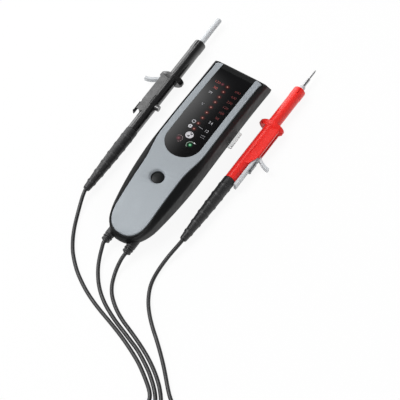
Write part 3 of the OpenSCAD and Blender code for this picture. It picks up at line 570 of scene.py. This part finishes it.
ROW_PITCH = 8.1             # between the lamps of the row, and between the numbers beside it
for k in range(9):
    disc(f"lamp_glow_{k}", 0.3, 93.1 - k * ROW_PITCH, 3.4, RED_GLOW)
disc("lamp_glow_top_left", -5.9, 93.4, 2.6, DIM_GLOW)
disc("lamp_glow_red", -6.8, 10.4, 3.2, DIM_GLOW)
disc("lamp_glow_green", 7.7, 9.3, 3.2, GREEN_GLOW)
for k, body in enumerate(("690", "400", "230", "120", "100", "50")):
    words(f"number_{k}", body, 13.2, 92.3 - k * ROW_PITCH, 4.3, DIM_RED)
words("number_24", "24", 10.9, 43.4, 4.6, WHITE)
words("number_12", "12", 12.9, 32.4, 4.6, WHITE)
words("number_left_0", "120", -11.9, 93.3, 4.4, LIT_RED)
words("number_left_1", "50", -9.6, 85.2, 4.8, LIT_RED)
words("unit", "V", -9.3, 59.6, 4.8, GREY)
strokes("dash_12", 5.4, 32.7, [bar(-2.8, 0.5, 2.8, -0.3, 0.6)], GREY)
strokes("supply_sign", 13.1, 24.2, [
    bar(-2.5, 1.4, 2.5, 1.4, 0.6), bar(-2.5, -1.1, -1.0, -1.1, 0.5),
    bar(-0.75, -1.1, 0.75, -1.1, 0.5), bar(1.0, -1.1, 2.5, -1.1, 0.5)], GREY)
strokes("polarity_sign", -10.7, 77.4, [
    bar(-1.9, 0.8, 1.9, 0.8, 0.7), bar(-1.9, -0.8, -0.3, -0.8, 0.6),
    bar(0.4, -0.8, 1.9, -0.8, 0.6)], WHITE)
disc("ring_sign", -4.8, 36.1, 2.2, WHITE, hole=1.3)
disc("disc_sign", -4.7, 29.2, 2.3, DISC, hole=0.7)
disc("continuity_disc", 0.6, 19.4, 4.3, DISC)
strokes("continuity_mark", 0.6, 19.4, [
    bar(-0.1, 3.5, 1.0, 0.9, 1.1), bar(0.8, 0.9, 2.9, 2.3, 1.1), bar(-1.9, -1.9, 0.9, -0.7, 1.0),
    bar(-0.5, -3.0, 0.7, -1.0, 0.8)], DARK, up=RAISED_UP)
for k in range(6):
    disc(f"turn_dash_{k}", -6.5, 10.4, 4.2, PINK, hole=3.5, start=-78 + k * 38, sweep=26)
disc("turn_arc_right", 8.0, 9.2, 4.6, PALE, hole=3.8, start=62, sweep=175)
strokes("turn_tip_right", 8.0, 9.2, [[(1.4, 5.4), (1.6, 3.0), (4.2, 4.0)]], DISC)


# ---------------------------------------------------------------- floor
FLOOR_SIZE = 30
FLOOR_DROP = 0.0002         # the floor lies this far under the object, so no faces coincide
FLOOR_GLOW = 0.92           # how much of the floor is plain white to the camera, gloss and glass


def floor_material():
    """Pale and shadowed, but nearly white to the camera and in reflections."""
    m = bpy.data.materials.new("floor")
    m.use_nodes = True
    t = m.node_tree
    t.nodes.clear()
    out = t.nodes.new("ShaderNodeOutputMaterial")
    diffuse = t.nodes.new("ShaderNodeBsdfDiffuse")
    diffuse.inputs["Color"].default_value = (0.9, 0.9, 0.9, 1)
    glow = t.nodes.new("ShaderNodeEmission")
    glow.inputs["Color"].default_value = (1, 1, 1, 1)
    glow.inputs["Strength"].default_value = 1.0
    path = t.nodes.new("ShaderNodeLightPath")
    seen = calculated(t, "MAXIMUM", path.outputs["Is Camera Ray"], path.outputs["Is Glossy Ray"])
    seen = calculated(t, "MAXIMUM", seen, path.outputs["Is Transmission Ray"])
    mix = t.nodes.new("ShaderNodeMixShader")
    t.links.new(calculated(t, "MULTIPLY", seen, FLOOR_GLOW), mix.inputs["Fac"])
    t.links.new(diffuse.outputs["BSDF"], mix.inputs[1])
    t.links.new(glow.outputs["Emission"], mix.inputs[2])
    t.links.new(mix.outputs["Shader"], out.inputs["Surface"])
    return m


bpy.ops.mesh.primitive_plane_add(size=FLOOR_SIZE, location=(0, 0, -FLOOR_DROP))
floor = bpy.context.object
floor.name = "floor"
floor.data.materials.append(floor_material())

# ---------------------------------------------------------------- world
# White round the horizon, dim overhead and a little dimmer towards -Y and +X, with a panel
# and a dimmer wing beside it up on the left. Each pair is a range of a direction's X, Y or Z
# over which the light eases from one level to the next.
HORIZON_TO_CEILING = (0.1, 0.75)
CEILING = 0.08
TOWARDS_FRONT = (-0.8, 0.1)
TOWARDS_RIGHT = (0.1, 0.9)
SIDE_SHARE = 0.6
PANEL = 2.4
WING = 1.2
LEAN = -0.082               # how much the edges of the panel lean, in X for each Y
INNER_EDGE = (-0.345, -0.385)
PANEL_EDGE = (-0.48, -0.40)
WING_EDGE = (-0.78, -0.66)
BACK_EDGE = (0.67, 0.57)
LOWER_EDGE = (0.3, 0.5)

world = bpy.data.worlds.new("studio")
scene.world = world
world.use_nodes = True
wt = world.node_tree
background = wt.nodes["Background"]
background.inputs["Color"].default_value = (1, 1, 1, 1)
sky = wt.nodes.new("ShaderNodeTexCoord")
apart = wt.nodes.new("ShaderNodeSeparateXYZ")
wt.links.new(sky.outputs["Generated"], apart.inputs["Vector"])
sky_x, sky_y, sky_z = (apart.outputs[axis] for axis in "XYZ")


def eased(value, source, low, high):
    return mapped(wt, value, source, low, high, "SMOOTHSTEP")


def product(a, b):
    return calculated(wt, "MULTIPLY", a, b)


across = calculated(wt, "ADD", sky_x, product(sky_y, LEAN))
panel = calculated(wt, "ADD",
                   product(eased(across, INNER_EDGE, 0, PANEL), eased(across, PANEL_EDGE, 0, 1)),
                   product(eased(across, INNER_EDGE, 0, WING), eased(across, WING_EDGE, 0, 1)))
panel = product(panel, product(eased(sky_y, BACK_EDGE, 0, 1), eased(sky_z, LOWER_EDGE, 0, 1)))
dim = eased(sky_z, HORIZON_TO_CEILING, 1, CEILING)
dim = product(dim, eased(sky_y, TOWARDS_FRONT, SIDE_SHARE, 1))
dim = product(dim, eased(sky_x, TOWARDS_RIGHT, 1, SIDE_SHARE))
wt.links.new(calculated(wt, "ADD", dim, panel), background.inputs["Strength"])


# ---------------------------------------------------------------- lamps
def area(name, place, target, size, power, size_y=None):
    data = bpy.data.lights.new(name, "AREA")
    data.energy = power
    data.size = size
    if size_y:
        data.shape = "RECTANGLE"
        data.size_y = size_y
    looking(linked(name, data), place, target)


area("key", (-1.4, -0.4, 2.3), (0, 0, 0), 1.6, 43.0)
area("left_strip", (-0.95, 0.65, 0.28), (-0.06, 0.1, 0.02), 1.2, 3.5, size_y=0.5)
area("fill", (1.6, -0.6, 2.2), (0, 0, 0), 1.6, 14.0)

scene.view_settings.view_transform = "Standard"
